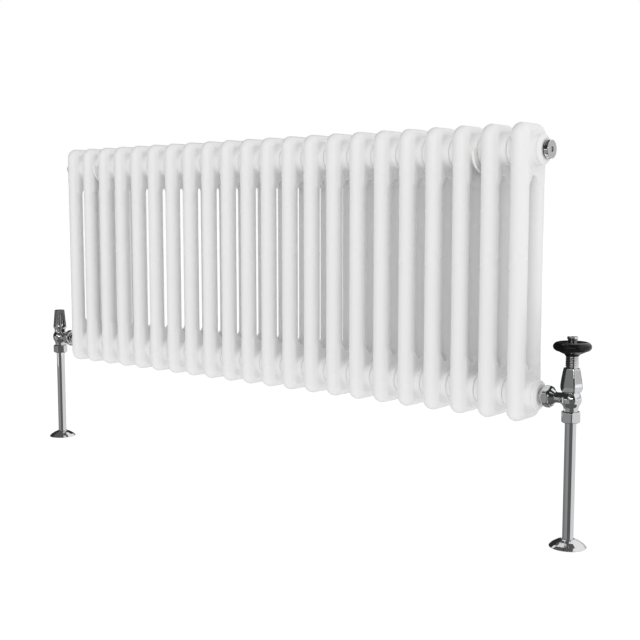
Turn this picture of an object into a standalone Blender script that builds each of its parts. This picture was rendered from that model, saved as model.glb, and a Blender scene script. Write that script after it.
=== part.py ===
"""Column radiator: 22 two-column steel sections on two wall brackets, with a thermostatic valve on the
right, a lockshield valve on the left, and their pipes down to the floor.

Frame: metres, +Z up. X runs along the radiator, with 0 at its middle and + towards the thermostatic
valve. Y = 0 is the wall, and the radiator stands out from it towards -Y. Z = 0 is the finished floor.
"""

import math

import bmesh
import bpy
from mathutils import Matrix

# ---- Driving dimensions ----------------------------------------------------------------------------
SECTIONS = 22
PITCH = 0.045  # from one section to the next
TUBE_RADIUS = 0.0125
TUBE_SPACING = 0.041  # from the front column's axis to the rear column's
TUBE_BORE_RADIUS = 0.0104  # so that the facets keep a wall all round
HEAD_WALL = 0.0016
SECTION_HEIGHT = 0.400
HUB_INSET = 0.036  # hub axis below the top, and above the bottom
HUB_RADIUS = 0.021
HUB_WALL = 0.0025
HEAD_DROP = 0.070  # how far each head reaches along its two tubes
HEAD_CORNER = 0.0165  # radius of a head's front and rear corners
HEAD_CHAMFER = 0.0045
HEAD_LIP = 0.0004  # how far a head stands proud of its tubes
CORNER_FACETS = 3
GAP = 0.0003  # between faces that touch on the real radiator
HUB_HEIGHT = 0.200  # lower hub axis, and both valves, above the floor
WALL_TO_CENTRE = 0.060

BOSS_LENGTH = 0.005
BOSS_END_RADIUS = 0.0155
THREAD_RADIUS = 0.0098  # bore of the end bosses
SHANK_RADIUS = 0.0095  # what screws into them
SHANK_LENGTH = 0.012
PLUG_RADIUS = 0.0125
PLUG_LENGTH = 0.0062
VENT_WELL_RADIUS = 0.0037  # round the square of the bleed screw
SEAL_THICKNESS = 0.0014

VALVE_TO_NUT = 0.0275  # from a valve's axis to its union nut's near face
UNION_LENGTH = 0.0115
UNION_FLATS = 0.0275
RIGHT_TAIL = 0.0042  # length of tail that shows between the boss and the union nut
LEFT_TAIL = 0.0210
NUT_LIP = 0.0025

BALL_RADIUS = 0.0135
NECK_RADIUS = 0.0068
WATERWAY_RADIUS = 0.0050
PORT_RADIUS = 0.0105  # collar on top of a valve body
PORT_BORE = 0.0083
PORT_TOP = 0.0155  # above the valve's centre, as are the heights below
SEAT = -0.0060  # where the disc or plug closes the waterway from the pipe
PIPE_RADIUS = 0.0075
PIPE_WALL = 0.0009
PIPE_TOP = -0.0200
COMPRESSION_TOP = -0.0145
COMPRESSION_BOTTOM = -0.0330
COMPRESSION_FLATS = 0.0240
COLLAR_RADIUS = 0.025
COLLAR_HEIGHT = 0.011

SHELL_BOTTOM = 0.0098
SHELL_WIDEST = 0.0165
SHELL_TOP = 0.0415
SHELL_FACETS = 6
SHELL_TURN = math.radians(11)  # one facet looks a little to the right of straight ahead
NECK_TOP = 0.0575
WHEEL_RADIUS = 0.0252
WHEEL_BOTTOM = 0.0580
WHEEL_CAP_TOP = 0.0830
SENSOR_TRAVEL = 0.003

CAP_BOTTOM = 0.0160
CAP_TOP = 0.0535

BRACKET_PITCHES = 9  # the brackets stand this many sections from the middle
BRACKET_THICKNESS = 0.0035
HOOK_RADIUS = 0.030  # outside of the hook under an upper hub
FLANGE_WIDTH = 0.036
FLANGE_THICKNESS = 0.003

# ---- Derived places --------------------------------------------------------------------------------
BOTTOM = HUB_HEIGHT - HUB_INSET
TOP = BOTTOM + SECTION_HEIGHT
TOP_HUB_HEIGHT = TOP - HUB_INSET
CENTRE_Y = -WALL_TO_CENTRE
SECTION_LENGTH = PITCH - GAP
HALF_DEPTH = TUBE_SPACING / 2 + TUBE_RADIUS + HEAD_LIP
BODY_END = SECTIONS * PITCH / 2
BOSS_END = BODY_END + BOSS_LENGTH
RIGHT_VALVE_X = BOSS_END + RIGHT_TAIL + UNION_LENGTH + VALVE_TO_NUT
LEFT_VALVE_X = -(BOSS_END + LEFT_TAIL + UNION_LENGTH + VALVE_TO_NUT)

# Facets round a full circle. Pieces that sit in one another share a count, so their facets line up.
ROUND, SMALL = 12, 8


# ---- Scene, materials and helpers ------------------------------------------------------------------
def new_collection(name):
    collection = bpy.data.collections.new(name)
    bpy.context.scene.collection.children.link(collection)
    return collection


def new_material(name, colour, roughness, metallic):
    material = bpy.data.materials.new(name)
    material.use_nodes = True
    shader = material.node_tree.nodes["Principled BSDF"]
    shader.inputs["Base Color"].default_value = (*colour, 1)
    shader.inputs["Roughness"].default_value = roughness
    shader.inputs["Metallic"].default_value = metallic
    material.diffuse_color = (*colour, 1)
    return material


for old in list(bpy.data.objects):
    bpy.data.objects.remove(old, do_unlink=True)
PARTS = new_collection("column_radiator")
CUTTERS = new_collection("cutters")
WHITE = new_material("white_enamel", (0.86, 0.86, 0.85), 0.18, 0.0)
CHROME = new_material("chrome", (0.80, 0.80, 0.82), 0.08, 1.0)
BRASS = new_material("brass", (0.72, 0.55, 0.27), 0.3, 1.0)
STEEL = new_material("spring_steel", (0.55, 0.55, 0.57), 0.35, 1.0)
BLACK = new_material("black_gloss", (0.012, 0.012, 0.013), 0.15, 0.0)
RUBBER = new_material("seal_rubber", (0.02, 0.02, 0.02), 0.7, 0.0)


def place(name, mesh, material=None, at=(0, 0, 0), turn=(0, 0, 0), parent=None):
    """Puts a mesh in the scene: as a part if it has a material, as a cutter or guide if it has none."""
    obj = bpy.data.objects.new(name, mesh)
    (PARTS if material else CUTTERS).objects.link(obj)
    obj.location, obj.rotation_euler, obj.parent = at, turn, parent
    if material:
        if not mesh.materials:
            mesh.materials.append(material)
    else:
        obj.hide_render, obj.display_type = True, "WIRE"
    return obj


def to_mesh(name, bm, smooth=True):
    bmesh.ops.recalc_face_normals(bm, faces=bm.faces)
    mesh = bpy.data.meshes.new(name)
    bm.to_mesh(mesh)
    bm.free()
    if smooth:
        mesh.shade_smooth()
        mesh.set_sharp_from_angle(angle=math.radians(35))
    return mesh


def prism(radius, length, sides, axis="Z", centre=(0, 0, 0), smooth=True):
    """A cylinder, or a hexagon, about an axis, turned so that two of its flats face along the axis' side."""
    bm = bmesh.new()
    bmesh.ops.create_cone(
        bm, cap_ends=True, segments=sides, radius1=radius, radius2=radius, depth=length
    )
    bmesh.ops.rotate(bm, verts=bm.verts, matrix=Matrix.Rotation(math.pi / sides, 3, "Z"))
    if axis == "X":
        bmesh.ops.rotate(bm, verts=bm.verts, matrix=Matrix.Rotation(math.pi / 2, 3, "Y"))
    bmesh.ops.translate(bm, verts=bm.verts, vec=centre)
    return to_mesh("prism", bm, smooth)


def box(low, high):
    bm = bmesh.new()
    bmesh.ops.create_cube(bm, size=1)
    size = [b - a for a, b in zip(low, high)]
    bmesh.ops.scale(bm, verts=bm.verts, vec=size)
    bmesh.ops.translate(bm, verts=bm.verts, vec=[(a + b) / 2 for a, b in zip(low, high)])
    return to_mesh("box", bm, smooth=False)


def turned(name, profile, material=None, steps=ROUND, ring=True, smooth=True, **placing):
    """A turned piece. The profile is (radius, height) pairs, down the outer side and back up the bore."""
    mesh = bpy.data.meshes.new(name)
    edges = [(i, i + 1) for i in range(len(profile) - 1)]
    if ring:
        edges.append((len(profile) - 1, 0))
    mesh.from_pydata([(r, 0, z) for r, z in profile], edges, [])
    obj = place(name, mesh, material, **placing)
    screw = obj.modifiers.new("turn", "SCREW")
    screw.steps = screw.render_steps = steps
    screw.use_merge_vertices = True
    screw.merge_threshold = 0.00001
    screw.use_smooth_shade = smooth
    return obj


def combine(obj, other, operation):
    """Adds or cuts another object with a Boolean modifier."""
    modifier = obj.modifiers.new(operation.lower(), "BOOLEAN")
    modifier.operation, modifier.solver, modifier.object = operation, "EXACT", other
    return obj


def cut(obj, *others):
    for other in others:
        combine(obj, other, "DIFFERENCE")
    return obj


def join(obj, *others):
    for other in others:
        combine(obj, other, "UNION")
    return obj


def baked(obj):
    """The mesh that an object's modifiers make, as plain data that several objects can share."""
    bpy.context.view_layer.update()
    mesh = bpy.data.meshes.new_from_object(obj.evaluated_get(bpy.context.evaluated_depsgraph_get()))
    mesh.name = obj.name
    bpy.data.objects.remove(obj, do_unlink=True)
    return mesh


def plate(outline, thickness):
    """A flat plate across X from an outline of (y, z) points, as a mesh that Booleans can use."""
    curve = bpy.data.curves.new("plate", "CURVE")
    curve.dimensions, curve.fill_mode, curve.extrude = "2D", "BOTH", thickness / 2
    spline = curve.splines.new("POLY")
    spline.points.add(len(outline) - 1)
    for point, (y, z) in zip(spline.points, outline):
        point.co = (y, z, 0, 1)
    spline.use_cyclic_u = True
    mesh = baked(place("plate", curve))
    bm = bmesh.new()
    bm.from_mesh(mesh)
    bmesh.ops.remove_doubles(bm, verts=bm.verts, dist=0.00001)
    # The curve's own X and Y become the radiator's Y and Z.
    for vert in bm.verts:
        vert.co = vert.co.zxy
    bpy.data.meshes.remove(mesh)
    return to_mesh("plate", bm, smooth=False)


def arc(centre, radius, start, end, count):
    """Points on an arc in a plane, from one angle in degrees to another, both ends included."""
    for i in range(count + 1):
        angle = math.radians(start + (end - start) * i / count)
        yield centre[0] + radius * math.cos(angle), centre[1] + radius * math.sin(angle)


# ---- Radiator body ---------------------------------------------------------------------------------
def head_object(half_depth, half_width, wall, upside_down):
    """One end of a section: flat on top with two round corners, over a straight skirt.

    wall is 0 for the head itself, and the depth that the water space inside it keeps from its faces.
    """
    corner, drop = HEAD_CORNER - wall, HEAD_DROP - 2 * wall
    from_middle = half_depth - corner
    outline = [
        (-half_depth, -drop),
        *arc((-from_middle, -corner), corner, 180, 90, CORNER_FACETS),
        *arc((from_middle, -corner), corner, 90, 0, CORNER_FACETS),
        (half_depth, -drop),
    ]
    bm = bmesh.new()
    face = bm.faces.new([bm.verts.new((-half_width, y, z)) for y, z in outline])
    far = bmesh.ops.extrude_face_region(bm, geom=[face])["geom"]
    moved = [item for item in far if isinstance(item, bmesh.types.BMVert)]
    bmesh.ops.translate(bm, verts=moved, vec=(2 * half_width, 0, 0))
    if not wall:
        foot = 0.0001 - drop
        rims = [
            edge
            for edge in bm.edges
            if abs(edge.verts[0].co.x - edge.verts[1].co.x) < 0.0001
            and max(vert.co.z for vert in edge.verts) > foot
        ]
        bmesh.ops.bevel(bm, geom=rims, offset=HEAD_CHAMFER, segments=1, affect="EDGES")
    if upside_down:
        bmesh.ops.rotate(bm, verts=bm.verts, matrix=Matrix.Rotation(math.pi, 3, "X"))
    height = wall if upside_down else SECTION_HEIGHT - wall
    bmesh.ops.translate(bm, verts=bm.verts, vec=(0, 0, height))
    return place("head", to_mesh("head", bm))


def section_mesh():
    """One section: two columns between two heads, hollow, with a hub through each head."""
    length = SECTION_HEIGHT - 2 * HEAD_DROP + 0.020
    middle = SECTION_HEIGHT / 2
    columns = [(0, side * TUBE_SPACING / 2, middle) for side in (-1, 1)]
    hubs = [(0, 0, HUB_INSET), (0, 0, SECTION_HEIGHT - HUB_INSET)]
    half = TUBE_RADIUS + HEAD_LIP

    water, more = (
        head_object(HALF_DEPTH - HEAD_WALL, half - 2 * HEAD_WALL, HEAD_WALL, end)
        for end in (True, False)
    )
    bores = [place("bore", prism(TUBE_BORE_RADIUS, length, SMALL, centre=c)) for c in columns]
    through = [
        place("hub_bore", prism(HUB_RADIUS - HUB_WALL, PITCH, SMALL, "X", c)) for c in hubs
    ]
    join(water, more, *bores, *through)

    lower, upper = (head_object(HALF_DEPTH, half, 0, end) for end in (True, False))
    tubes = [place("tube", prism(TUBE_RADIUS, length, SMALL, centre=c)) for c in columns]
    rings = [place("hub", prism(HUB_RADIUS, SECTION_LENGTH, SMALL, "X", c)) for c in hubs]
    join(lower, upper, *tubes, *rings)
    return baked(cut(lower, water))


def radiator_body():
    mesh = section_mesh()
    for number in range(SECTIONS):
        x = (number - (SECTIONS - 1) / 2) * PITCH
        place(f"section_{number + 1:02d}", mesh, WHITE, at=(x, CENTRE_Y, BOTTOM))


def outward(side):
    """The turn that points a piece's own +Z out of the radiator's end, side being -1 left or 1 right."""
    return (0, side * math.pi / 2, 0)


def end_bosses():
    """The tapered bosses welded over the four outer hub ends, each with a threaded bore."""
    start = GAP / 2 - BOSS_LENGTH
    profile = [
        (BOSS_END_RADIUS, 0),
        (HUB_RADIUS - 0.0005, start + 0.002),
        (HUB_RADIUS - 0.0005, start),
        (THREAD_RADIUS, start),
        (THREAD_RADIUS, 0),
    ]
    for row, height in (("top", TOP_HUB_HEIGHT), ("bottom", HUB_HEIGHT)):
        for hand, side in (("left", -1), ("right", 1)):
            at = (side * BOSS_END, CENTRE_Y, height)
            turned(f"end_boss_{row}_{hand}", profile, WHITE, at=at, turn=outward(side))


def plug_profile(bore):
    """A plug's outer side, from its face to the end of its thread, in front of a squeezed seal."""
    face = SEAL_THICKNESS + GAP
    return [
        (PLUG_RADIUS - 0.001, face + PLUG_LENGTH),
        (PLUG_RADIUS, face + PLUG_LENGTH - 0.001),
        (PLUG_RADIUS, face),
        (SHANK_RADIUS, face),
        (SHANK_RADIUS, -SHANK_LENGTH),
        (bore, -SHANK_LENGTH),
    ]


def top_plugs():
    """The blanking plug on the left, and the air vent with its bleed screw on the right."""
    left = (-BOSS_END, CENTRE_Y, TOP_HUB_HEIGHT)
    right = (BOSS_END, CENTRE_Y, TOP_HUB_HEIGHT)
    face = SEAL_THICKNESS + GAP + PLUG_LENGTH
    solid = [(0, face), *plug_profile(0)]
    turned("blanking_plug", solid, CHROME, ring=False, at=left, turn=outward(-1))

    well = VENT_WELL_RADIUS
    recess = [(0.0028, 0.003 - SHANK_LENGTH), (0.0028, face - 0.004), (well, face - 0.004)]
    vent = [*plug_profile(0.0018), (0.0018, 0.003 - SHANK_LENGTH), *recess, (well, face)]
    turned("air_vent_plug", vent, CHROME, at=right, turn=outward(1))

    tip = 0.0035 - SHANK_LENGTH
    screw = [(0, face - 0.003), (0.0025, face - 0.003), (0.0025, tip + 0.002), (0, tip)]
    bleed = turned("bleed_screw", screw, BRASS, SMALL, ring=False, at=right, turn=outward(1))
    key = place("key_square", prism(0.0032, 0.0028, 4, centre=(0, 0, face - 0.0022)), at=right)
    key.rotation_euler = outward(1)
    join(bleed, key)

    washer = [
        (PLUG_RADIUS - 0.001, SEAL_THICKNESS),
        (PLUG_RADIUS - 0.001, GAP / 2),
        (SHANK_RADIUS + GAP, GAP / 2),
        (SHANK_RADIUS + GAP, SEAL_THICKNESS),
    ]
    turned("plug_seal_left", washer, RUBBER, at=left, turn=outward(-1))
    turned("plug_seal_right", washer, RUBBER, at=right, turn=outward(1))


# ---- What both valves share ------------------------------------------------------------------------
def hex_nut(name, flats, low, high, bore, **placing):
    """A hexagon nut along its own Z, chamfered at both ends, with a turned bore cut through it."""
    corner = flats / 2 / math.cos(math.pi / 6)
    mesh = prism(corner, high - low, 6, centre=(0, 0, (low + high) / 2), smooth=False)
    nut = place(name, mesh, CHROME, **placing)
    edge = 0.0015
    crown = [
        (0, high),
        (corner - edge, high),
        (corner + GAP, high - 1.3 * edge),
        (corner + GAP, low + 1.3 * edge),
        (corner - edge, low),
        (0, low),
    ]
    rounding = turned("rounding", crown, ring=False, **placing)
    combine(nut, rounding, "INTERSECT")
    return cut(nut, turned("bore", bore, ring=False, **placing))


def union_joint(hand, side, tail_length):
    """The tail screwed into the end boss, and the union nut that draws it on to the valve body."""
    at, turn = (side * BOSS_END, CENTRE_Y, HUB_HEIGHT), outward(side)
    nut_start = tail_length
    nut_end = nut_start + UNION_LENGTH
    flange = nut_start + NUT_LIP + GAP
    tail = [
        (0.0112, flange + 0.0027),
        (0.0118, flange + 0.0020),
        (0.0118, flange),
        (SHANK_RADIUS, flange),
        (SHANK_RADIUS, -SHANK_LENGTH),
        (WATERWAY_RADIUS, -SHANK_LENGTH),
        (WATERWAY_RADIUS, flange + 0.0027),
    ]
    turned(f"{hand}_tail", tail, CHROME, at=at, turn=turn)
    lip, thread = SHANK_RADIUS + 2 * GAP, 0.0124
    bore = [
        (0, nut_end + 0.001),
        (thread, nut_end + 0.001),
        (thread, nut_start + NUT_LIP),
        (lip, nut_start + NUT_LIP),
        (lip, nut_start - 0.001),
        (0, nut_start - 0.001),
    ]
    hex_nut(f"{hand}_union_nut", UNION_FLATS, nut_start, nut_end, bore, at=at, turn=turn)


def valve_body(name, side, at):
    """An angle body: a ball with a neck to the union, a tail down over the pipe and a port on top."""
    ball = list(arc((0, 0), BALL_RADIUS, 42, -45, 4))
    outer = [
        (0, PORT_TOP),
        (PORT_RADIUS, PORT_TOP),
        (PORT_RADIUS, ball[0][1] + 0.001),
        *ball,
        (0.0096, -0.0125),
        (0.0096, COMPRESSION_TOP + 0.001),
        (0.0104, COMPRESSION_TOP + 0.001),
        (0.0104, -0.0255),
        (0, -0.0255),
    ]
    body = turned(name, outer, CHROME, ring=False, at=at)

    inward = outward(-side)
    face = VALVE_TO_NUT + UNION_LENGTH - NUT_LIP - 2 * GAP - 0.0030
    branch = [
        (0, face),
        (0.0118, face),
        (0.0118, VALVE_TO_NUT + 0.0010),
        (NECK_RADIUS, VALVE_TO_NUT - 0.0015),
        (NECK_RADIUS, 0.004),
        (0, 0.004),
    ]
    neck = turned("neck", branch, ring=False, at=at, turn=inward)
    side_bore = place("side_bore", prism(WATERWAY_RADIUS, 0.050, SMALL, centre=(0, 0, 0.025)), at=at)
    side_bore.rotation_euler = inward
    socket = PIPE_RADIUS + GAP
    inner = [
        (0, PORT_TOP + 0.001),
        (PORT_BORE, PORT_TOP + 0.001),
        (PORT_BORE, 0.0060),
        (0.0062, 0.0060),
        (0.0062, SEAT),
        (0.0040, SEAT),
        (0.0040, -0.0100),
        (socket, -0.0190),
        (socket, -0.0265),
        (0, -0.0265),
    ]
    well = turned("well", inner, ring=False, at=at)
    join(body, neck)
    return cut(body, well, side_bore)


def compression_joint(hand, at):
    """The nut and the olive that grip the pipe under a valve."""
    grip, thread = PIPE_RADIUS + GAP, 0.0108
    bore = [
        (0, COMPRESSION_TOP + 0.001),
        (thread, COMPRESSION_TOP + 0.001),
        (thread, COMPRESSION_BOTTOM + 0.0040),
        (grip, COMPRESSION_BOTTOM + 0.0020),
        (grip, COMPRESSION_BOTTOM - 0.001),
        (0, COMPRESSION_BOTTOM - 0.001),
    ]
    low, high = COMPRESSION_BOTTOM, COMPRESSION_TOP
    hex_nut(f"{hand}_compression_nut", COMPRESSION_FLATS, low, high, bore, at=at)
    ring = [
        (0.0085, -0.0259),
        (0.0098, -0.0273),
        (0.0098, -0.0280),
        (0.0085, -0.0291),
        (grip, -0.0291),
        (grip, -0.0259),
    ]
    turned(f"{hand}_olive", ring, BRASS, at=at)


def pipe_and_collar(hand, at):
    """The pipe from a valve down to the floor, and the loose domed collar that covers its hole."""
    length = at[2] + PIPE_TOP
    wall = [
        (PIPE_RADIUS, length),
        (PIPE_RADIUS, 0),
        (PIPE_RADIUS - PIPE_WALL, 0),
        (PIPE_RADIUS - PIPE_WALL, length),
    ]
    foot = (at[0], at[1], 0)
    turned(f"{hand}_pipe", wall, CHROME, at=foot)
    bore = PIPE_RADIUS + GAP
    dome = [
        (bore + 0.0012, COLLAR_HEIGHT),
        (0.0135, 0.0092),
        (0.0190, 0.0062),
        (0.0232, 0.0025),
        (COLLAR_RADIUS, 0.0008),
        (COLLAR_RADIUS, 0),
        (COLLAR_RADIUS - 0.0020, 0),
        (0.0180, 0.0045),
        (bore, 0.0075),
        (bore, COLLAR_HEIGHT),
    ]
    turned(f"{hand}_floor_collar", dome, CHROME, at=foot)


# ---- Thermostatic valve on the right ---------------------------------------------------------------
def valve_insert(at):
    """The brass cartridge: a floor that the spindle slides through, with its spring on top."""
    insert = [
        (0.0080, 0.0215),
        (0.0080, 0.0063),
        (0.0020, 0.0063),
        (0.0020, 0.0085),
        (0.0060, 0.0085),
        (0.0060, 0.0215),
    ]
    turned("trv_insert", insert, BRASS, at=at)


def valve_spindle(at):
    """The sliding pin, with its closing disc below and the collar that the spring lifts above."""
    pin = [
        (0, 0.0262),
        (0.0016, 0.0262),
        (0.0016, 0.0205),
        (0.0052, 0.0205),
        (0.0052, 0.0185),
        (0.0016, 0.0185),
        (0.0016, SEAT + 0.0020),
        (0.0050, SEAT + 0.0020),
        (0.0050, SEAT + GAP),
        (0, SEAT + GAP),
    ]
    turned("trv_spindle", pin, STEEL, SMALL, ring=False, at=at)


def return_spring(at):
    """A coil between the cartridge's floor and the spindle's collar."""
    wire, coil, low, high, turns, per_turn = 0.0004, 0.0040, 0.0091, 0.0180, 3, 8
    curve = bpy.data.curves.new("trv_spring", "CURVE")
    curve.dimensions, curve.bevel_depth, curve.bevel_resolution = "3D", wire, 1
    curve.use_fill_caps = True
    curve.materials.append(STEEL)
    spline = curve.splines.new("POLY")
    count = turns * per_turn
    spline.points.add(count)
    for i, point in enumerate(spline.points):
        angle = math.tau * i / per_turn
        height = low + (high - low) * i / count
        point.co = (coil * math.cos(angle), coil * math.sin(angle), height, 1)
    obj = bpy.data.objects.new("trv_spring", curve)
    PARTS.objects.link(obj)
    obj.location = at


def thermostatic_head(at, wheel_axis):
    """The faceted shell with its wax sensor, the ribbed neck, and the handwheel on its drive stem."""
    sensor_low, sensor_high, socket = 0.0265, 0.0360, 0.0036
    socket_floor = sensor_high - SENSOR_TRAVEL - 0.0035
    shell = [
        (0, SHELL_TOP),
        (0.0115, SHELL_TOP),
        (0.0133, 0.0320),
        (0.0150, 0.0225),
        (0.0156, SHELL_WIDEST),
        (0.0150, 0.0125),
        (0.0140, SHELL_BOTTOM),
        (0, SHELL_BOTTOM),
    ]
    room = [
        (0, SHELL_TOP + 0.001),
        (PORT_BORE, SHELL_TOP + 0.001),
        (PORT_BORE, PORT_TOP + GAP),
        (PORT_RADIUS + GAP, PORT_TOP + GAP),
        (PORT_RADIUS + GAP, SHELL_BOTTOM - 0.001),
        (0, SHELL_BOTTOM - 0.001),
    ]
    turn = (0, 0, SHELL_TURN)
    facets = turned(
        "trv_head_shell", shell, CHROME, SHELL_FACETS, ring=False, smooth=False, at=at, turn=turn
    )
    cut(facets, turned("room", room, None, ring=False, at=at))

    sensor = [
        (0.0075, sensor_high),
        (0.0075, sensor_low),
        (0, sensor_low),
        (0, socket_floor),
        (socket, socket_floor),
        (socket, sensor_high),
    ]
    turned("trv_sensor", sensor, BRASS, at=at)

    low, groove, ribs = SHELL_TOP + GAP, 0.0006, 3
    rib = (NECK_TOP - low) / (2 * ribs + 1)
    sides = []
    for i in range(ribs + 1):
        top = NECK_TOP - 2 * i * rib
        sides += [(0.0085, top), (0.0085, top - rib)]
        if i < ribs:
            sides += [(0.0085 - groove, top - rib), (0.0085 - groove, top - 2 * rib)]
    spigot = [(0.0077, low), (0.0077, low - 0.002), (0.0044, low - 0.002), (0.0044, NECK_TOP)]
    turned("trv_neck", [*sides, *spigot], CHROME, at=at)

    stem = [(0, 0.0700), (0.0040, 0.0700), (0.0040, 0.0395), (0.0031, 0.0395), (0.0031, 0.0330)]
    turned(
        "trv_head_stem", [*stem, (0, 0.0330)], STEEL, SMALL, ring=False, parent=wheel_axis
    )

    round_rim = arc((WHEEL_RADIUS - 0.0072, 0.0692), 0.0072, 100, -75, 7)
    wheel = [
        (0.0070, 0.0720),
        (0.0078, 0.0752),
        (0.0125, 0.0757),
        *round_rim,
        (0.0130, 0.0600),
        (0.0092, WHEEL_BOTTOM),
        (0.0043, WHEEL_BOTTOM),
        (0.0043, 0.0708),
    ]
    turned("trv_wheel", wheel, BLACK, parent=wheel_axis)

    cap = [
        (0, WHEEL_CAP_TOP),
        (0.0066, WHEEL_CAP_TOP),
        (0.0072, WHEEL_CAP_TOP - 0.001),
        (0.0072, WHEEL_CAP_TOP - 0.003),
        (0.0062, WHEEL_CAP_TOP - 0.004),
        (0.0062, 0.0725),
        (0, 0.0725),
    ]
    turned("trv_wheel_cap", cap, CHROME, ring=False, parent=wheel_axis)


def thermostatic_valve():
    at = (RIGHT_VALVE_X, CENTRE_Y, HUB_HEIGHT)
    axis = bpy.data.objects.new("trv_wheel_axis", None)
    CUTTERS.objects.link(axis)
    axis.location = at
    union_joint("trv", 1, RIGHT_TAIL)
    valve_body("trv_body", 1, at)
    compression_joint("trv", at)
    pipe_and_collar("right", at)
    valve_insert(at)
    valve_spindle(at)
    return_spring(at)
    thermostatic_head(at, axis)


# ---- Lockshield valve on the left ------------------------------------------------------------------
def lockshield_valve():
    at = (LEFT_VALVE_X, CENTRE_Y, HUB_HEIGHT)
    union_joint("lockshield", -1, LEFT_TAIL)
    valve_body("lockshield_body", -1, at)
    compression_joint("lockshield", at)
    pipe_and_collar("left", at)

    stem = 0.0028
    gland = [
        (0.0066, 0.0230),
        (0.0072, 0.0220),
        (0.0072, 0.0170),
        (0.0080, 0.0170),
        (0.0080, 0.0063),
        (stem, 0.0063),
        (stem, 0.0230),
    ]
    turned("lockshield_gland_nut", gland, BRASS, at=at)

    spindle = [
        (0, 0.0255),
        (0.0025, 0.0255),
        (0.0025, SEAT + 0.0050),
        (0.0050, SEAT + 0.0050),
        (0.0050, SEAT + GAP),
        (0, SEAT + GAP),
    ]
    pin = turned("lockshield_spindle", spindle, BRASS, SMALL, ring=False, at=at)
    join(pin, place("key_square", prism(0.0034, 0.005, 4, centre=(0, 0, 0.0270)), at=at))

    hollow = 0.0092
    cap = [
        (0, CAP_TOP),
        (0.0080, CAP_TOP),
        (0.0098, CAP_TOP - 0.0020),
        (0.0134, 0.0205),
        (0.0120, CAP_BOTTOM),
        (hollow, CAP_BOTTOM),
        (hollow, 0.0320),
        (0, 0.0320),
    ]
    turned("lockshield_cap", cap, CHROME, 10, ring=False, smooth=False, at=at)


# ---- Wall brackets ---------------------------------------------------------------------------------
def wall_brackets():
    """Two brackets between sections: a hook under the upper hub and a stop behind the lower one."""
    clear = HUB_RADIUS + GAP
    seat = (CENTRE_Y, TOP_HUB_HEIGHT)
    back, spine = -FLANGE_THICKNESS / 2, -0.018
    saddle = list(arc(seat, clear, -15, -180, 9))
    low_arm = HUB_HEIGHT - 0.010
    outline = [
        (back, low_arm),
        (CENTRE_Y + clear + 0.004, low_arm),
        *arc((CENTRE_Y, HUB_HEIGHT), clear, -25, 25, 3),
        (spine, HUB_HEIGHT + 0.022),
        (spine, TOP_HUB_HEIGHT - 0.045),
        *arc(seat, HOOK_RADIUS, -65, -180, 7),
        (CENTRE_Y - HOOK_RADIUS + 0.002, TOP_HUB_HEIGHT + 0.003),
        (CENTRE_Y - clear - 0.002, TOP_HUB_HEIGHT + 0.003),
        *reversed(saddle),
        (spine - 0.012, TOP_HUB_HEIGHT + 0.004),
        (back, TOP_HUB_HEIGHT + 0.010),
    ]
    for hand, side in (("left", -1), ("right", 1)):
        x = side * BRACKET_PITCHES * PITCH
        half = FLANGE_WIDTH / 2
        low = (-half, -FLANGE_THICKNESS, HUB_HEIGHT - 0.020)
        flange = box(low, (half, 0, TOP_HUB_HEIGHT + 0.020))
        bracket = place(f"wall_bracket_{hand}", flange, WHITE, at=(x, 0, 0))
        join(bracket, place("web", plate(outline, BRACKET_THICKNESS), at=(x, 0, 0)))
        for offset in (-0.011, 0.011):
            for height in (HUB_HEIGHT + 0.045, TOP_HUB_HEIGHT - 0.020):
                hole = prism(0.0030, 0.012, SMALL)
                hole.transform(Matrix.Rotation(math.pi / 2, 4, "X"))
                cut(bracket, place("screw_hole", hole, at=(x + offset, 0, height)))


radiator_body()
end_bosses()
top_plugs()
thermostatic_valve()
lockshield_valve()
wall_brackets()
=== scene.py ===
"""Looks for the column radiator: enamelled sections with chromed valves, pipes and collars.

Every piece is built at the place of the CAD nodes it stands for, in metres. Organic shapes, such as the
welded heads and the cast valve bodies, are distance fields skinned with quads. Turned pieces are outlines
spun about their axis. X runs along the radiator, the wall is at Y = 0 and the floor at Z = 0. The studio
is plain and white, with cards that only polished surfaces see.
"""

import math

import bmesh
import bpy
import numpy as np
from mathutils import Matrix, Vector


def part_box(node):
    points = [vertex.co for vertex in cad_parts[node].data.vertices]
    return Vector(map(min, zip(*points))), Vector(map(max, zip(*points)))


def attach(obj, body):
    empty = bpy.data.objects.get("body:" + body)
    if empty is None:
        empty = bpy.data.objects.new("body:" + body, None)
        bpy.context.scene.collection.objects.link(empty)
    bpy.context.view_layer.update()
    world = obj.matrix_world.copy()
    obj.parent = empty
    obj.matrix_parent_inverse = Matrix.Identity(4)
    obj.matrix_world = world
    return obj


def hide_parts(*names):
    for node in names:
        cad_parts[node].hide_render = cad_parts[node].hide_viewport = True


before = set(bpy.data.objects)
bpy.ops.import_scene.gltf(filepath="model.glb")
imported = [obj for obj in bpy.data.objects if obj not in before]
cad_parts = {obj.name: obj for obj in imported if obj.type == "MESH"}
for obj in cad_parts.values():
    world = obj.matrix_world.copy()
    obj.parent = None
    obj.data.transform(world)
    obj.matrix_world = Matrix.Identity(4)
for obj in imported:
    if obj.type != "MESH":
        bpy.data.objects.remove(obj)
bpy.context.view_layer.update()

# ---- Measures from the frame -----------------------------------------------------------------------
SECTIONS = sum(name.startswith("section_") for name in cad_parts)
FIRST_LOW, FIRST_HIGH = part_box("section_01")
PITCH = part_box("section_02")[0].x - FIRST_LOW.x
SECTION_HEIGHT = FIRST_HIGH.z - FIRST_LOW.z
HALF_SECTION = (FIRST_HIGH.x - FIRST_LOW.x) / 2
HALF_DEPTH = (FIRST_HIGH.y - FIRST_LOW.y) / 2
CENTRE_Y = (FIRST_LOW.y + FIRST_HIGH.y) / 2
BOTTOM = FIRST_LOW.z


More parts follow.
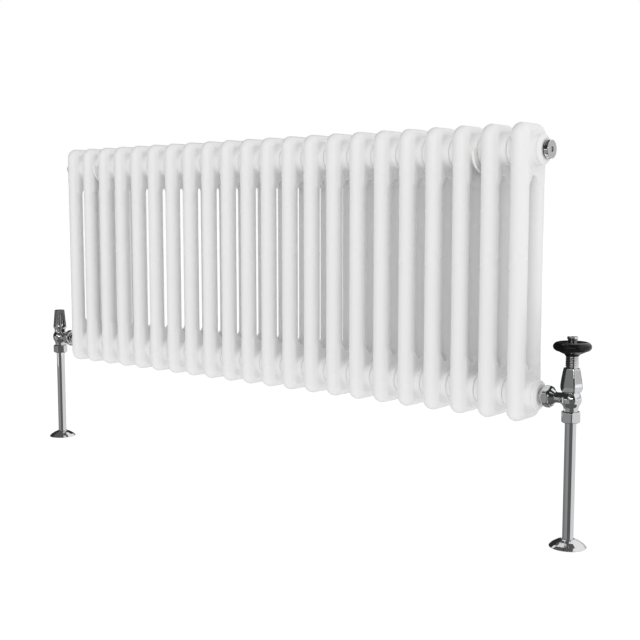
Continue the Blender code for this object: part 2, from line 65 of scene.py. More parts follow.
def middle(node):
    low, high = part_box(node)
    return (low + high) / 2


BOSS_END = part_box("end_boss_top_right")[1].x
TOP_HUB = middle("end_boss_top_right").z
BOTTOM_HUB = middle("end_boss_bottom_right").z
HUB_INSET = BOTTOM_HUB - BOTTOM
TRV = Vector((middle("right_pipe").x, CENTRE_Y, BOTTOM_HUB))
LOCKSHIELD = Vector((middle("left_pipe").x, CENTRE_Y, BOTTOM_HUB))

# ---- Measures of the fine shapes -------------------------------------------------------------------
TUBE_RADIUS = 0.0125
HEAD_LIP = 0.0004
HALF_SPACING = HALF_DEPTH - HEAD_LIP - TUBE_RADIUS  # a column's axis from the section's middle
HEAD_DROP = 0.070  # from the end of a section to the top of the opening between its columns
HEAD_CORNER = 0.0165
WEB_HALF = 0.0108
HUB_RADIUS = 0.0205
HUB_ROUNDING = 0.0018
HUB_BORE = 0.0100  # radius of the waterway through every hub
GAP = 0.0003
SHANK = 0.0095  # radius of what screws into the end bosses
SHANK_LENGTH = 0.012
SPIN_STEPS = 96


# ---- Distance fields and their skins ---------------------------------------------------------------
def blend_union(a, b, fillet):
    """The union of two fields, with a fillet where they meet."""
    near = np.maximum(fillet - np.abs(a - b), 0) / fillet
    return np.minimum(a, b) - near * near * fillet / 4


def blend_cut(a, b, fillet):
    """What two fields share, with its edges eased."""
    return -blend_union(-a, -b, fillet)


def rounded_drum(radial, axial, rounding):
    """A cylinder's field from its radial and axial distances, with a rounded rim."""
    out, along = radial + rounding, axial + rounding
    inner = np.minimum(np.maximum(out, along), 0)
    return inner + np.hypot(np.maximum(out, 0), np.maximum(along, 0)) - rounding


def steps(low, high, size):
    return np.linspace(low, high, max(2, round((high - low) / size) + 1))


def gradient(field, points, reach=0.00002):
    """A field's slope at some points, by central differences."""
    slope = np.empty_like(points)
    for axis in range(3):
        shift = np.zeros(3)
        shift[axis] = reach
        slope[:, axis] = field(points + shift) - field(points - shift)
    return slope / (2 * reach)


def skin(name, field, xs, ys, zs):
    """The zero surface of a field as a quad mesh, on a grid whose lines may be unevenly spaced.

    Each grid cell that the surface crosses holds one vertex, and each crossed grid edge makes one quad
    between the four cells round it. The vertices are then drawn on to the surface along its slope.
    """
    lines = (xs, ys, zs)
    grid = np.stack(np.meshgrid(*lines, indexing="ij"), axis=-1)
    value = field(grid)
    inside = value < 0
    cells = tuple(len(line) - 1 for line in lines)
    total = np.zeros((*cells, 3))
    count = np.zeros(cells)
    crossings = []
    for axis in range(3):
        near = [slice(None)] * 3
        far = [slice(None)] * 3
        near[axis], far[axis] = slice(0, -1), slice(1, None)
        near, far = tuple(near), tuple(far)
        where = np.argwhere(inside[near] != inside[far])
        a, b = value[near][tuple(where.T)], value[far][tuple(where.T)]
        start, end = grid[near][tuple(where.T)], grid[far][tuple(where.T)]
        point = start + (end - start) * (a / (a - b))[:, None]
        crossings.append((where, a < 0))
        one, two = [other for other in range(3) if other != axis]
        for back_one in (0, 1):
            for back_two in (0, 1):
                cell = where.copy()
                cell[:, one] -= back_one
                cell[:, two] -= back_two
                np.add.at(total, tuple(cell.T), point)
                np.add.at(count, tuple(cell.T), 1)
    number = np.full(cells, -1)
    used = count > 0
    number[used] = np.arange(used.sum())
    verts = total[used] / count[used][:, None]
    for _ in range(4):
        slope = gradient(field, verts)
        verts -= slope * (field(verts) / np.maximum((slope**2).sum(1), 1e-6))[:, None]
    quads = []
    for axis, (where, leaving) in enumerate(crossings):
        one, two = (axis + 1) % 3, (axis + 2) % 3
        corners = []
        for back_one, back_two in ((0, 0), (1, 0), (1, 1), (0, 1)):
            cell = where.copy()
            cell[:, one] -= back_one
            cell[:, two] -= back_two
            corners.append(number[tuple(cell.T)])
        ring = np.stack(corners, axis=1)
        ring[~leaving] = ring[~leaving][:, ::-1]
        quads.append(ring)
    mesh = bpy.data.meshes.new(name)
    mesh.from_pydata(verts.tolist(), [], np.concatenate(quads).tolist())
    mesh.shade_smooth()
    slope = gradient(field, verts)
    slope /= np.maximum(np.linalg.norm(slope, axis=1), 1e-9)[:, None]
    mesh.normals_split_custom_set_from_vertices(slope.tolist())
    return mesh


# ---- Turned meshes ---------------------------------------------------------------------------------
def outline(*corners, facets=6):
    """An outline of (radius, height) corners. A third number rounds a corner with a fillet of that size."""
    points = [Vector(corner[:2]) for corner in corners]
    made = []
    for i, corner in enumerate(corners):
        here = points[i]
        if len(corner) == 2 or i in (0, len(corners) - 1):
            made.append(here)
            continue
        before, after = points[i - 1] - here, points[i + 1] - here
        half_angle = before.angle(after) / 2
        reach = min(corner[2] / math.tan(half_angle), 0.49 * before.length, 0.49 * after.length)
        start, end = here + before.normalized() * reach, here + after.normalized() * reach
        for k in range(facets + 1):
            t = k / facets
            made.append(start * (1 - t) ** 2 + here * 2 * t * (1 - t) + end * t**2)
    return [tuple(point) for point in made]


def arc(centre, radii, start, end, count):
    """Points on an ellipse's arc, from one angle in degrees to another, both ends included."""
    for i in range(count + 1):
        angle = math.radians(start + (end - start) * i / count)
        yield centre[0] + radii[0] * math.cos(angle), centre[1] + radii[1] * math.sin(angle)


def spun(name, profile, ring=False, count=SPIN_STEPS):
    """An outline spun about Z. A ring's outline closes on itself, and any other runs from axis to axis."""
    bm = bmesh.new()
    verts = [bm.verts.new((radius, 0, height)) for radius, height in profile]
    edges = [bm.edges.new(pair) for pair in zip(verts, verts[1:])]
    if ring:
        edges.append(bm.edges.new((verts[-1], verts[0])))
    bmesh.ops.spin(
        bm, geom=verts + edges, cent=(0, 0, 0), axis=(0, 0, 1), angle=math.tau, steps=count,
        use_merge=False,
    )
    bmesh.ops.remove_doubles(bm, verts=bm.verts, dist=0.000002)
    bmesh.ops.recalc_face_normals(bm, faces=bm.faces)
    mesh = bpy.data.meshes.new(name)
    bm.to_mesh(mesh)
    bm.free()
    mesh.shade_smooth()
    mesh.set_sharp_from_angle(angle=math.radians(33))
    return mesh


# ---- Materials -------------------------------------------------------------------------------------
def finish(name, colour, rough, metallic=0.0, drift=0.03, grain=30.0, bump=None, **sockets):
    """A Principled finish whose colour and roughness drift gently, with an optional fine bump.

    rough is the (lowest, highest) roughness, and bump is the (scale, height in metres) of the bump.
    """
    made = bpy.data.materials.new(name)
    made.use_nodes = True
    tree = made.node_tree
    nodes, links = tree.nodes, tree.links
    shader = nodes["Principled BSDF"]
    shader.inputs["Metallic"].default_value = metallic
    for socket, value in sockets.items():
        shader.inputs[socket.replace("_", " ")].default_value = value
    place = nodes.new("ShaderNodeTexCoord")
    noise = nodes.new("ShaderNodeTexNoise")
    noise.inputs["Scale"].default_value = grain
    noise.inputs["Detail"].default_value = 3.0
    links.new(place.outputs["Object"], noise.inputs["Vector"])
    tint = nodes.new("ShaderNodeValToRGB")
    tint.color_ramp.elements[0].color = (*(c * (1 - drift) for c in colour), 1)
    tint.color_ramp.elements[1].color = (*colour, 1)
    tint.color_ramp.elements[0].position, tint.color_ramp.elements[1].position = 0.3, 0.7
    links.new(noise.outputs["Fac"], tint.inputs["Fac"])
    links.new(tint.outputs["Color"], shader.inputs["Base Color"])
    spread = nodes.new("ShaderNodeMapRange")
    spread.inputs["From Min"].default_value, spread.inputs["From Max"].default_value = 0.3, 0.7
    spread.inputs["To Min"].default_value, spread.inputs["To Max"].default_value = rough
    links.new(noise.outputs["Fac"], spread.inputs["Value"])
    links.new(spread.outputs["Result"], shader.inputs["Roughness"])
    if bump:
        ripple = nodes.new("ShaderNodeTexNoise")
        ripple.inputs["Scale"].default_value = bump[0]
        ripple.inputs["Detail"].default_value = 2.0
        links.new(place.outputs["Object"], ripple.inputs["Vector"])
        relief = nodes.new("ShaderNodeBump")
        relief.inputs["Distance"].default_value = bump[1]
        relief.inputs["Strength"].default_value = 1.0
        links.new(ripple.outputs["Fac"], relief.inputs["Height"])
        links.new(relief.outputs["Normal"], shader.inputs["Normal"])
    return made


FINISHES = {
    "white_enamel": finish(
        "white_enamel", (0.81, 0.81, 0.81), (0.24, 0.30), drift=0.01, grain=9.0,
        bump=(260.0, 0.00002), Specular_IOR_Level=0.25,
    ),
    "bracket_enamel": finish(
        "bracket_enamel", (0.84, 0.84, 0.83), (0.34, 0.42), drift=0.02, grain=20.0,
        bump=(400.0, 0.00003),
    ),
    "chrome": finish(
        "chrome", (0.86, 0.865, 0.88), (0.035, 0.07), metallic=1.0, drift=0.04, grain=60.0,
        bump=(900.0, 0.0000015),
    ),
    "brass": finish(
        "brass", (0.78, 0.58, 0.27), (0.2, 0.32), metallic=1.0, drift=0.15, grain=90.0,
        bump=(1500.0, 0.000003),
    ),
    "steel": finish(
        "steel", (0.56, 0.56, 0.58), (0.25, 0.36), metallic=1.0, drift=0.1, grain=120.0,
        bump=(1800.0, 0.000003),
    ),
    "black_gloss": finish(
        "black_gloss", (0.006, 0.006, 0.007), (0.18, 0.24), drift=0.3, grain=50.0,
        bump=(500.0, 0.000008), Coat_Weight=0.12, Coat_Roughness=0.12, Specular_IOR_Level=0.3,
    ),
    "seal_rubber": finish(
        "seal_rubber", (0.025, 0.025, 0.025), (0.6, 0.75), drift=0.2, grain=200.0,
        bump=(1500.0, 0.00001),
    ),
}


def piece(node, mesh, slot, at=(0, 0, 0), side=0, body="radiator"):
    """Puts a mesh at its place as the fine form of a CAD node. side points its Z along -X or +X."""
    obj = bpy.data.objects.new(f"{node}_fine", mesh)
    bpy.context.scene.collection.objects.link(obj)
    obj.location = at
    obj.rotation_euler = (0, side * math.pi / 2, 0)
    if not mesh.materials:
        mesh.materials.append(FINISHES[slot])
    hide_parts(node)
    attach(obj, body)
    return obj


def turned(node, profile, slot, ring=False, **placing):
    return piece(node, spun(node, profile, ring), slot, **placing)


# ---- Radiator body ---------------------------------------------------------------------------------
def section_field(p):
    """One section about its foot: tube up and over each head, filled in between, and a hub through it."""
    x, y = np.abs(p[..., 0]), np.abs(p[..., 1])
    end = SECTION_HEIGHT / 2 - np.abs(p[..., 2] - SECTION_HEIGHT / 2)  # in from the nearer end
    out, up = y - (HALF_DEPTH - HEAD_CORNER), HEAD_CORNER - end
    edge = np.hypot(np.maximum(out, 0), np.maximum(up, 0)) - HEAD_CORNER
    beside = edge + np.minimum(np.maximum(out, up), 0) + TUBE_RADIUS + HEAD_LIP
    lip = HEAD_LIP * np.clip((HEAD_DROP - end) / 0.010, 0, 1)
    tube = np.hypot(x, beside) - TUBE_RADIUS - lip
    opening = HALF_SPACING - TUBE_RADIUS
    below = np.minimum(end - HEAD_DROP - opening, 0)
    web = blend_cut(x - WEB_HALF, beside, 0.002)
    web = blend_cut(web, opening - np.hypot(y, below), 0.004)
    web = blend_cut(web, end - HEAD_DROP - 0.006, 0.004)
    radial = np.hypot(y, end - HUB_INSET) - HUB_RADIUS
    hub = rounded_drum(radial, x - HALF_SECTION, HUB_ROUNDING)
    solid = blend_union(blend_union(tube, web, 0.007), hub, 0.006)
    return np.maximum(solid, HUB_BORE - HUB_RADIUS - radial)


def radiator_body():
    fine, coarse = 0.0016, 0.022
    margin = 0.002
    reach = HEAD_DROP + 0.014
    heads = steps(-margin, reach, fine)
    between = steps(reach, SECTION_HEIGHT - reach, coarse)[1:-1]
    heights = np.concatenate([heads, between, SECTION_HEIGHT - heads[::-1]])
    across = steps(-HALF_SECTION - margin, HALF_SECTION + margin, fine)
    deep = steps(-HALF_DEPTH - margin, HALF_DEPTH + margin, fine)
    mesh = skin("section", section_field, across, deep, heights)
    for number in range(SECTIONS):
        x = FIRST_LOW.x + HALF_SECTION + number * PITCH
        piece(f"section_{number + 1:02d}", mesh, "white_enamel", at=(x, CENTRE_Y, BOTTOM))


def end_bosses():
    low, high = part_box("end_boss_top_right")
    length, radius = high.x - low.x, (high.y - low.y) / 2
    shape = outline(
        (SHANK + GAP, -GAP), (0.0155, 0, 0.0012), (radius - 0.0008, -0.6 * length, 0.002),
        (radius, -length), (SHANK + GAP, -length),
    )
    mesh = spun("end_boss", shape, ring=True)
    for row, height in (("top", TOP_HUB), ("bottom", BOTTOM_HUB)):
        for hand, side in (("left", -1), ("right", 1)):
            at = (side * BOSS_END, CENTRE_Y, height)
            piece(f"end_boss_{row}_{hand}", mesh, "white_enamel", at=at, side=side)


def plugs():
    """The blanking plug on the left and the air vent on the right, with seals and the bleed screw."""
    left, right = (-BOSS_END, CENTRE_Y, TOP_HUB), (BOSS_END, CENTRE_Y, TOP_HUB)
    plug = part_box("air_vent_plug")
    face, foot, radius = plug[1].x - BOSS_END, 0.0017, (plug[1].y - plug[0].y) / 2
    rim = [
        (radius, face, 0.0009), (radius, foot, 0.0003), (SHANK, foot), (SHANK, -SHANK_LENGTH),
    ]
    dish = [(0, face - 0.0005), (radius - 0.003, face - 0.0005, 0.0005), (radius - 0.0025, face)]
    blank = outline(*dish, *rim, (0, -SHANK_LENGTH))
    turned("blanking_plug", blank, "chrome", at=left, side=-1)
    well, pilot, port = 0.0037, 0.0028, 0.0018
    vent = outline(
        (well, face - 0.004), (well, face, 0.0004), *rim, (port, -SHANK_LENGTH),
        (port, 0.003 - SHANK_LENGTH), (pilot, 0.003 - SHANK_LENGTH), (pilot, face - 0.004),
    )
    turned("air_vent_plug", vent, "chrome", ring=True, at=right, side=1)
    washer = outline(
        (0.0119, GAP, 0.0), (0.0123, 0.0007, 0.0004), (0.0119, 0.0014, 0.0), (SHANK + GAP, 0.0014),
        (SHANK + GAP, GAP),
    )
    turned("plug_seal_left", washer, "seal_rubber", ring=True, at=left, side=-1)
    turned("plug_seal_right", washer, "seal_rubber", ring=True, at=right, side=1)

    tip, key, key_low = 0.0035 - SHANK_LENGTH, 0.00225, face - 0.0036

    def bleed_field(p):
        radius_here = np.hypot(p[..., 0], p[..., 1])
        height = p[..., 2]
        middle_height = (tip + key_low) / 2
        drum = rounded_drum(radius_here - 0.0025, np.abs(height - middle_height) - key_low / 2
                            + tip / 2, 0.0004)
        cone = radius_here - 0.0006 - (height - tip) * 1.1
        flats = np.maximum(np.abs(p[..., 0]), np.abs(p[..., 1])) - key
        square = rounded_drum(flats, np.abs(height - (face - 0.0024)) - 0.0014, 0.0002)
        return np.minimum(np.maximum(drum, cone), square)

    wide, fine = 0.0035, 0.0002
    mesh = skin(
        "bleed_screw", bleed_field, steps(-wide, wide, fine), steps(-wide, wide, fine),
        steps(tip - 0.001, face, fine),
    )
    piece("bleed_screw", mesh, "brass", at=right, side=1, body="bleed_screw")


# ---- What both valves share ------------------------------------------------------------------------
def hexagon(p, flats, easing):
    """A hexagon prism's field about Z, with eased corners."""
    field = None
    for angle in (30, 90, 150):
        turn = math.radians(angle)
        face = np.abs(p[..., 0] * math.cos(turn) + p[..., 1] * math.sin(turn)) - flats / 2
        field = face if field is None else blend_cut(field, face, easing)
    return field


def nut(node, flats, low, high, bore, slope, **placing):
    """A hexagon nut between two heights. slope is how fast the crown on each end falls away.

    bore is a list of (radius, lowest height) steps, from the top down.
    """
    corner = flats / 2 / math.cos(math.pi / 6)

    def field(p):
        height, radius = p[..., 2], np.hypot(p[..., 0], p[..., 1])
        half = (high - low) / 2
        body = rounded_drum(
            hexagon(p, flats, 0.0012), np.abs(height - (low + high) / 2) - half, 0.0006
        )
        fall = np.abs(height - (low + high) / 2) - half
        crown = radius - (corner - 0.0014) + np.maximum(fall + 0.0042, 0) ** 2 * slope - 0.0010
        body = blend_cut(body, crown, 0.0006)
        hole = None
        for size, floor in bore:
            step = np.maximum(radius - size, floor - height)
            hole = step if hole is None else np.minimum(hole, step)
        return np.maximum(body, -hole)

    fine, margin = 0.00045, 0.001
    wide = steps(-corner - margin, corner + margin, fine)
    mesh = skin(node, field, wide, wide, steps(low - margin, high + margin, fine))
    return piece(node, mesh, "chrome", **placing)


def union_joint(hand, side):
    """The tail screwed into the end boss, and the union nut that draws it on to the valve body."""
    low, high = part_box(f"{hand}_union_nut")
    flats = high.y - low.y
    start = min(abs(low.x), abs(high.x)) - BOSS_END
    end = max(abs(low.x), abs(high.x)) - BOSS_END
    at = (side * BOSS_END, CENTRE_Y, BOTTOM_HUB)
    lip, flange, seat = 0.0025, 0.0118, start + 0.0028
    tail = outline(
        (0.005, seat + 0.0027), (flange - 0.0006, seat + 0.0027, 0.0005), (flange, seat), (SHANK, seat),
        (SHANK, -SHANK_LENGTH), (0.005, -SHANK_LENGTH),
    )
    turned(f"{hand}_tail", tail, "chrome", ring=True, at=at, side=side)
    bore = [(0.0124, start + lip), (SHANK + 2 * GAP, start - 0.01)]
    nut(f"{hand}_union_nut", flats, start, end, bore, 150.0, at=at, side=side)


def valve_body(node, at, side):
    """An angle body: a ball with a neck to the union, a collar on top and a tail over the pipe."""
    ball, neck, waist, collar = 0.0138, 0.0071, 0.0096, 0.0105
    low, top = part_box(node)[0].z - at.z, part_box(node)[1].z - at.z
    mouth = max(abs(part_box(node)[0].x - at.x), abs(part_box(node)[1].x - at.x))
    nut_face = 0.0275

    def field(p):
        x, y, z = -side * p[..., 0], p[..., 1], p[..., 2]
        radius, across = np.hypot(x, y), np.hypot(y, z)
        body = np.sqrt(x * x + y * y + z * z) - ball
        flare = neck + np.maximum(x - nut_face + 0.006, 0) * 0.75
        branch = rounded_drum(
            across - np.minimum(flare, 0.0118), np.abs(x - mouth / 2) - mouth / 2, 0.0004
        )
        body = blend_union(body, branch, 0.0045)
        stem = rounded_drum(radius - waist, np.abs(z - low / 2) + low / 2, 0.0004)
        body = blend_union(body, stem, 0.003)
        port = rounded_drum(radius - collar, np.abs(z - top / 2) - top / 2, 0.0004)
        body = blend_union(body, port, 0.0012)
        wells = [
            (0.0083, 0.0060, top + 1), (0.0062, -0.0060, 0.0061), (0.0040, -0.0195, -0.0059),
            (0.0078, low - 1, -0.0190),
        ]
        for size, foot, head in wells:
            hole = np.maximum(radius - size, np.maximum(foot - z, z - head))
            body = np.maximum(body, -hole)
        return np.maximum(body, -np.maximum(across - 0.005, -x))

    fine, margin = 0.0006, 0.0012
    xs = steps(-ball - margin, mouth + margin, fine)
    if side > 0:
        xs = -xs[::-1]
    wide = steps(-ball - margin, ball + margin, fine)
    mesh = skin(node, field, xs, wide, steps(low - margin, top + margin, fine))
    return piece(node, mesh, "chrome", at=at)


def compression_joint(hand, at):
    low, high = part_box(f"{hand}_compression_nut")
    bottom, top = low.z - at.z, high.z - at.z
    grip = 0.0078
    bore = [(0.0108, bottom + 0.004), (grip, bottom - 0.01)]
    nut(f"{hand}_compression_nut", high.y - low.y, bottom, top, bore, 420.0, at=at)
    olive = outline(
        (grip, -0.0259), (0.0085, -0.0259), (0.0099, -0.0276, 0.0008), (0.0085, -0.0291),
        (grip, -0.0291),
    )
    turned(f"{hand}_olive", olive, "brass", ring=True, at=at)


def pipe_and_collar(hand, at):
    foot = Vector((at.x, at.y, 0))
    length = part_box(f"{hand}_pipe")[1].z
    outer, inner, burr = 0.0075, 0.0066, 0.0002
    wall = outline(
        (inner, length), (outer, length, burr), (outer, 0, burr), (inner, 0, burr), (inner, length / 2),
    )
    turned(f"{hand}_pipe", wall, "chrome", ring=True, at=foot)
    bore, height, radius = 0.0078, 0.011, 0.025
    bell = outline(
        (bore, height - 0.0003), (bore + 0.0012, height, 0.0005), (0.0105, 0.0099, 0.0008),
        (0.0150, 0.0082, 0.006), (0.0215, 0.0042, 0.006), (0.0243, 0.0014, 0.001),
        (radius, 0.0007, 0.0004), (radius, 0, 0.0003), (radius - 0.002, 0), (0.0180, 0.0045, 0.003),
        (bore, 0.0080),
    )
    turned(
        f"{hand}_floor_collar", bell, "chrome", ring=True, at=foot, body=f"{hand}_floor_collar"
    )


# ---- Thermostatic valve ----------------------------------------------------------------------------
def head_shell(at):
    """The faceted vase: six tapering faces with sunk panels, over the valve's collar."""
    node = "trv_head_shell"
    low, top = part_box(node)[0].z - at.z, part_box(node)[1].z - at.z
    widest, turn, facet_angle = 0.0165, math.radians(11), math.pi / 3
    belly, mouth, foot = 0.0135, 0.0100, 0.0121

    def apothem(z):
        rise = np.clip((z - widest) / (top - widest), 0, 1)
        fall = np.clip((widest - z) / (widest - low), 0, 1)
        return belly - (belly - mouth) * rise**1.3 - (belly - foot) * fall**2

    def field(p):
        x, y, z = p[..., 0], p[..., 1], p[..., 2]
        radius, size = np.hypot(x, y), apothem(z)
        angle = np.arctan2(x, -y) - turn
        facet = np.round(angle / facet_angle) * facet_angle
        along, across = radius * np.cos(angle - facet), radius * np.sin(angle - facet)
        side_faces = along - size
        edge = size * math.tan(facet_angle / 2) - np.abs(across)
        frame_distance = np.minimum(edge - 0.0013, np.minimum(z - low - 0.0042, top - 0.0024 - z))
        side_faces = side_faces + 0.0005 * np.clip(frame_distance / 0.0006 + 0.5, 0, 1)
        corner = radius - size / math.cos(facet_angle / 2) + 0.0006
        body = blend_cut(side_faces, corner, 0.0004)
        body = rounded_drum(body, np.abs(z - (low + top) / 2) - (top - low) / 2, 0.0007)
        room = np.maximum(radius - 0.0083, 0.0158 - z)
        skirt = np.maximum(radius - 0.0108, z - 0.0158)
        return np.maximum(body, -np.minimum(room, skirt))

    fine, margin = 0.00045, 0.001
    reach = 0.0166  # past the corners of the belly
    wide = steps(-reach, reach, fine)
    mesh = skin(node, field, wide, wide, steps(low - margin, top + margin, fine))
    piece(node, mesh, "chrome", at=at)


def ribbed_neck(at):
    """The neck from the shell to the wheel, with rounded rings round it."""
    low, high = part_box("trv_neck")
    bottom, top = low.z - at.z, high.z - at.z
    seat = bottom + 0.002
    radius, groove, bore, rings = 0.0085, 0.0013, 0.0044, 5
    pitch, first = 0.0024, top - 0.0032
    side = [(bore, top), (radius - 0.0004, top, 0.0004), (radius, top - 0.0012, 0.0004)]
    for i in range(rings):
        crest = (radius - groove, first - i * pitch)
        side += arc(crest, (groove, pitch / 2), 85, -85, 8)
    side += [(radius, seat + 0.0003, 0.0003), (0.0077, seat), (0.0077, bottom), (bore, bottom)]
    turned("trv_neck", outline(*side, facets=3), "chrome", ring=True, at=at)


def handwheel(at):
    """The black wheel with its nearly flat top, the chrome cap in its middle and the stem below."""
    wheel = outline(
        (0.0043, 0.0705), (0.0043, 0.0720), (0.0066, 0.0720, 0.0004), (0.0072, 0.0752, 0.0006),
        (0.0118, 0.0757, 0.001),
    )
    wheel += list(arc((0.0178, 0.0699), (0.0074, 0.0061), 100, -72, 28))
    wheel += outline(
        (0.0190, 0.0638), (0.0135, 0.0612, 0.006), (0.0098, 0.0596, 0.001), (0.0094, 0.0580, 0.0004),
        (0.0043, 0.0580),
    )
    turned("trv_wheel", wheel, "black_gloss", ring=True, at=at, body="handwheel")
    cap = outline(
        (0, 0.0826), (0.0040, 0.0826, 0.0004), (0.0044, 0.0830, 0.0003), (0.0071, 0.0830, 0.0006),
        (0.0071, 0.0802, 0.0006), (0.0060, 0.0790, 0.0015), (0.0058, 0.0730, 0.001),
        (0.0061, 0.07225), (0, 0.07225),
    )
    turned("trv_wheel_cap", cap, "chrome", at=at, body="handwheel")
    stem = outline(
        (0, 0.0698), (0.0040, 0.0698, 0.0004), (0.0040, 0.0395, 0.0003), (0.0031, 0.0395),
        (0.0031, 0.0330, 0.0003), (0, 0.0330),
    )
    turned("trv_head_stem", stem, "steel", at=at, body="handwheel")


def valve_inside(at):
    """The cartridge with its spindle and spring, and the wax sensor above them."""
    insert = outline(
        (0.0060, 0.0213), (0.0080, 0.0213, 0.0004), (0.0080, 0.0063), (0.0020, 0.0063),
        (0.0020, 0.0085), (0.0060, 0.0085),
    )
    turned("trv_insert", insert, "brass", ring=True, at=at)
    seat = -0.0060
    spindle = outline(
        (0, 0.0262), (0.0016, 0.0262, 0.0004), (0.0016, 0.0205), (0.0052, 0.0205, 0.0003),
        (0.0052, 0.0185, 0.0003), (0.0016, 0.0185), (0.0016, seat + 0.002),
        (0.0050, seat + 0.002, 0.0003), (0.0050, seat + GAP, 0.0003), (0, seat + GAP),
    )
    turned("trv_spindle", spindle, "steel", at=at, body="sensor_and_spindle")
    sensor = outline(
        (0.0036, 0.0360), (0.0075, 0.0360, 0.0006), (0.0075, 0.0265, 0.0006), (0, 0.0265),
        (0, 0.0295), (0.0036, 0.0295),
    )
    turned("trv_sensor", sensor, "brass", ring=True, at=at, body="sensor_and_spindle")

    coil, low, high, turns, per_turn = 0.0040, 0.0091, 0.0180, 3, 32
    curve = bpy.data.curves.new("trv_spring", "CURVE")
    curve.dimensions, curve.bevel_depth, curve.bevel_resolution = "3D", 0.0004, 3
    curve.use_fill_caps = True
    spline = curve.splines.new("POLY")
    count = turns * per_turn
    spline.points.add(count)
    for i, point in enumerate(spline.points):
        angle = math.tau * i / per_turn
        height = low + (high - low) * i / count
        point.co = (coil * math.cos(angle), coil * math.sin(angle), height, 1)
    piece("trv_spring", curve, "steel", at=at)


# ---- Lockshield valve ------------------------------------------------------------------------------
def lockshield_cap(at):
    """The tall reeded cap: rounded ribs that narrow upwards over a plain turned foot."""
    node = "lockshield_cap"
    low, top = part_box(node)[0].z - at.z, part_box(node)[1].z - at.z
    ribs, shoulder = 10, low + 0.0052

    def field(p):
        x, y, z = p[..., 0], p[..., 1], p[..., 2]
        radius = np.hypot(x, y)
        rise = (z - shoulder) / (top - shoulder)
        rib = np.abs(np.cos(np.arctan2(y, x) * ribs / 2))
        depth = 0.0013 * np.clip((z - shoulder) / 0.002, 0, 1) * np.clip(rise * 3 + 0.6, 0, 1)
        size = 0.0129 - 0.0031 * np.clip(rise, 0, 1) - depth * (1 - np.sqrt(rib))
        size = size - 0.0016 * np.clip((shoulder - z) / (shoulder - low), 0, 1) ** 1.5
        body = rounded_drum(
            radius - size, np.abs(z - (low + top) / 2) - (top - low) / 2, 0.0008
        )
        hollow = np.maximum(radius - 0.0090, z - 0.0320)
        return np.maximum(body, -hollow)

    fine, margin = 0.00045, 0.001
    wide = steps(-0.0145, 0.0145, fine)
    mesh = skin(node, field, wide, wide, steps(low - margin, top + margin, fine))
    piece(node, mesh, "chrome", at=at, body="lockshield_cap")


def lockshield_inside(at):
    bore = 0.0028
    gland = outline(
        (bore, 0.0230), (0.0064, 0.0230, 0.0004), (0.0072, 0.0221, 0.0003), (0.0072, 0.0170),
        (0.0080, 0.0170, 0.0003), (0.0080, 0.0063), (bore, 0.0063),
    )
    turned("lockshield_gland_nut", gland, "brass", ring=True, at=at)
    low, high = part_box("lockshield_spindle")
    seat, top, shoulder = low.z - at.z, high.z - at.z, 0.0250

    def field(p):
        x, y, z = p[..., 0], p[..., 1], p[..., 2]
        radius = np.hypot(x, y)
        flats = np.maximum(np.abs(x), np.abs(y)) - 0.0024
        stem = rounded_drum(radius - 0.0025, np.abs(z - (seat + shoulder) / 2)
                            - (shoulder - seat) / 2, 0.0003)
        square = rounded_drum(
            flats, np.abs(z - (shoulder + top) / 2) - (top - shoulder) / 2 - 0.0004, 0.0004
        )
        plug = rounded_drum(radius - 0.0050, np.abs(z - seat - 0.0024) - 0.0024, 0.0004)
        return np.minimum(np.minimum(stem, square), plug)

    fine = 0.0003
    wide = steps(-0.0056, 0.0056, fine)
    mesh = skin("lockshield_spindle", field, wide, wide, steps(seat - 0.001, top + 0.001, fine))
    piece("lockshield_spindle", mesh, "brass", at=at, body="lockshield_spindle")


# ---- Brackets --------------------------------------------------------------------------------------
def brackets():
    """The CAD's own brackets, with eased edges and an enamel finish."""
    for hand in ("left", "right"):
        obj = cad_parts[f"wall_bracket_{hand}"]
        obj.data.materials.clear()
        obj.data.materials.append(FINISHES["bracket_enamel"])
        easing = obj.modifiers.new("eased_edges", "BEVEL")
        easing.width, easing.segments, easing.limit_method = 0.0006, 3, "ANGLE"
        easing.angle_limit = math.radians(40)
        easing.harden_normals = True


# ---- Studio ----------------------------------------------------------------------------------------
def studio_camera():
    data = bpy.data.cameras.new("camera")
    data.lens, data.sensor_width = 58.7, 36.0
    camera = bpy.data.objects.new("camera", data)
    bpy.context.scene.collection.objects.link(camera)
    camera.location = (1.156, -1.320, 0.444)
    camera.rotation_euler = (math.radians(90 - 5.83), 0, math.radians(39.64))
    bpy.context.scene.camera = camera


def glow(name, shade, base=0.0):
    """A card's own even brightness, besides what its base shade gives back of the light on it."""
    made = bpy.data.materials.new(name)
    made.use_nodes = True
    shader = made.node_tree.nodes["Principled BSDF"]
    shader.inputs["Base Color"].default_value = (base, base, base, 1)
    shader.inputs["Roughness"].default_value = 1.0
    shader.inputs["Specular IOR Level"].default_value = 0.0
    shader.inputs["Emission Color"].default_value = (shade, shade, shade, 1)
    shader.inputs["Emission Strength"].default_value = 1.0
    return made


def flat(name, size, at, material, turn=(0, 0, 0)):
    bm = bmesh.new()
    bmesh.ops.create_grid(bm, x_segments=1, y_segments=1, size=0.5)
    mesh = bpy.data.meshes.new(name)
    bm.to_mesh(mesh)
    bm.free()
    mesh.materials.append(material)
    obj = bpy.data.objects.new(name, mesh)
    bpy.context.scene.collection.objects.link(obj)
    obj.location, obj.rotation_euler, obj.scale = at, turn, (*size, 1)
    return obj


def only_reflected(obj):
    obj.visible_camera = obj.visible_diffuse = obj.visible_shadow = False


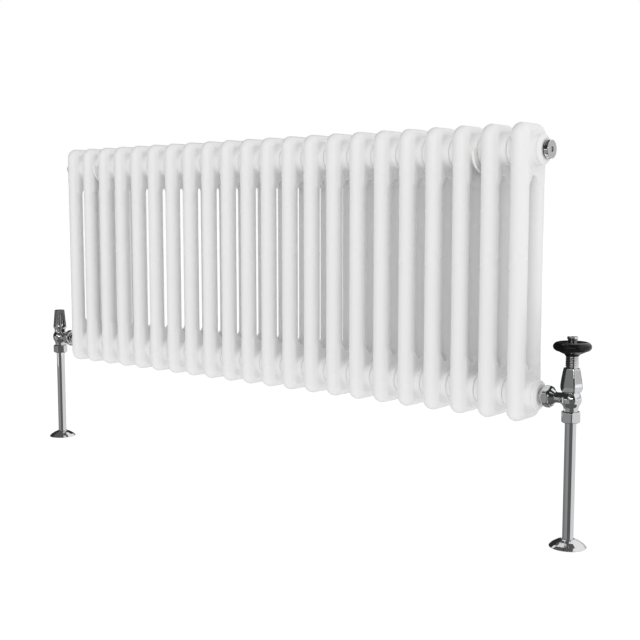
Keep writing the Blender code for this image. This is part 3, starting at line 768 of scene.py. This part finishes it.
def curtain(name, start, end, low, high, shade, distance=12.0, count=24):
    """A curved card that only polished surfaces see, between two azimuths from -Y and two elevations."""
    bottom, top = (distance * math.tan(math.radians(angle)) for angle in (low, high))
    verts, faces = [], []
    for i in range(count + 1):
        turn = math.radians(start + (end - start) * i / count)
        foot = (math.sin(turn) * distance, -math.cos(turn) * distance)
        verts += [(*foot, bottom), (*foot, top)]
    for i in range(count):
        faces.append((2 * i, 2 * i + 2, 2 * i + 3, 2 * i + 1))
    mesh = bpy.data.meshes.new(name)
    mesh.from_pydata(verts, [], faces)
    mesh.materials.append(glow(name, shade))
    obj = bpy.data.objects.new(name, mesh)
    bpy.context.scene.collection.objects.link(obj)
    obj.location = (0, 0, 0.2)
    only_reflected(obj)
    return obj


def softbox(name, at, size, power, aim=(0, CENTRE_Y, 0.35)):
    light = bpy.data.lights.new(name, "AREA")
    light.shape, light.size, light.size_y, light.energy = "RECTANGLE", size[0], size[1], power
    obj = bpy.data.objects.new(name, light)
    bpy.context.scene.collection.objects.link(obj)
    obj.location = at
    obj.rotation_euler = (Vector(aim) - Vector(at)).to_track_quat("-Z", "Y").to_euler()
    return obj


def studio():
    scene = bpy.context.scene
    scene.view_settings.view_transform = "Standard"
    world = bpy.data.worlds.new("white_room")
    scene.world = world
    world.use_nodes = True
    world.node_tree.nodes["Background"].inputs["Color"].default_value = (1, 1, 1, 1)
    world.node_tree.nodes["Background"].inputs["Strength"].default_value = 1.0
    floor = flat("floor", (40, 40), (0, 0, 0), glow("floor", 0.96, base=0.1))
    floor.visible_glossy = False
    for name, height, shade in (("ground", -12, 0.10), ("ceiling", 10, 0.10)):
        only_reflected(flat(name, (36, 36), (0, 0, height), glow(name, shade)))
    # What polished metal sees round the radiator: azimuths from and to, elevations from and to, shade.
    for card in (
        ("left_dark", -154, -20, 0, 40, 0.03),
        ("front_grey", -20, 13, -6, 17, 0.20),
        ("middle_dark", 16, 72, 0, 40, 0.03),
        ("right_grey", 84, 206, 0, 17, 0.52),
        ("left_low", -154, -50, -45, 0, 0.20),
        ("front_low", -50, 8, -45, -6, 0.28),
        ("middle_low", 8, 72, -45, 0, 0.11),
        ("right_low", 72, 206, -45, -4, 0.70),
    ):
        curtain(*card)
    curtain("bright_strip", 14, 44, 10, 16, 4.0, distance=11)
    curtain("right_sky", 70, 206, 17, 62, 0.85, distance=5)
    gobo = curtain("left_gobo", -150, -38, 0, 60, 0.10)  # darkens the left edges of the columns
    gobo.visible_diffuse, gobo.visible_glossy = True, False
    # Dark cards beside the valves, so that their metal does not mirror the white end sections.
    for hand, x, back in (("right", BOSS_END + 0.016, 0), ("left", -BOSS_END - 0.034, 0.147)):
        name, at = f"{hand}_valve_shade", (x, CENTRE_Y + back, BOTTOM_HUB + 0.055)
        only_reflected(flat(name, (0.10, 0.30), at, glow(name, 0.03), turn=(0, math.pi / 2, 0)))
    key = softbox("key", (1.3, -2.6, 1.5), (1.8, 1.8), 6)
    key.visible_glossy = False


studio_camera()
studio()
radiator_body()
end_bosses()
plugs()
union_joint("trv", 1)
valve_body("trv_body", TRV, 1)
compression_joint("trv", TRV)
pipe_and_collar("right", TRV)
head_shell(TRV)
ribbed_neck(TRV)
handwheel(TRV)
valve_inside(TRV)
union_joint("lockshield", -1)
valve_body("lockshield_body", LOCKSHIELD, -1)
compression_joint("lockshield", LOCKSHIELD)
pipe_and_collar("left", LOCKSHIELD)
lockshield_cap(LOCKSHIELD)
lockshield_inside(LOCKSHIELD)
brackets()
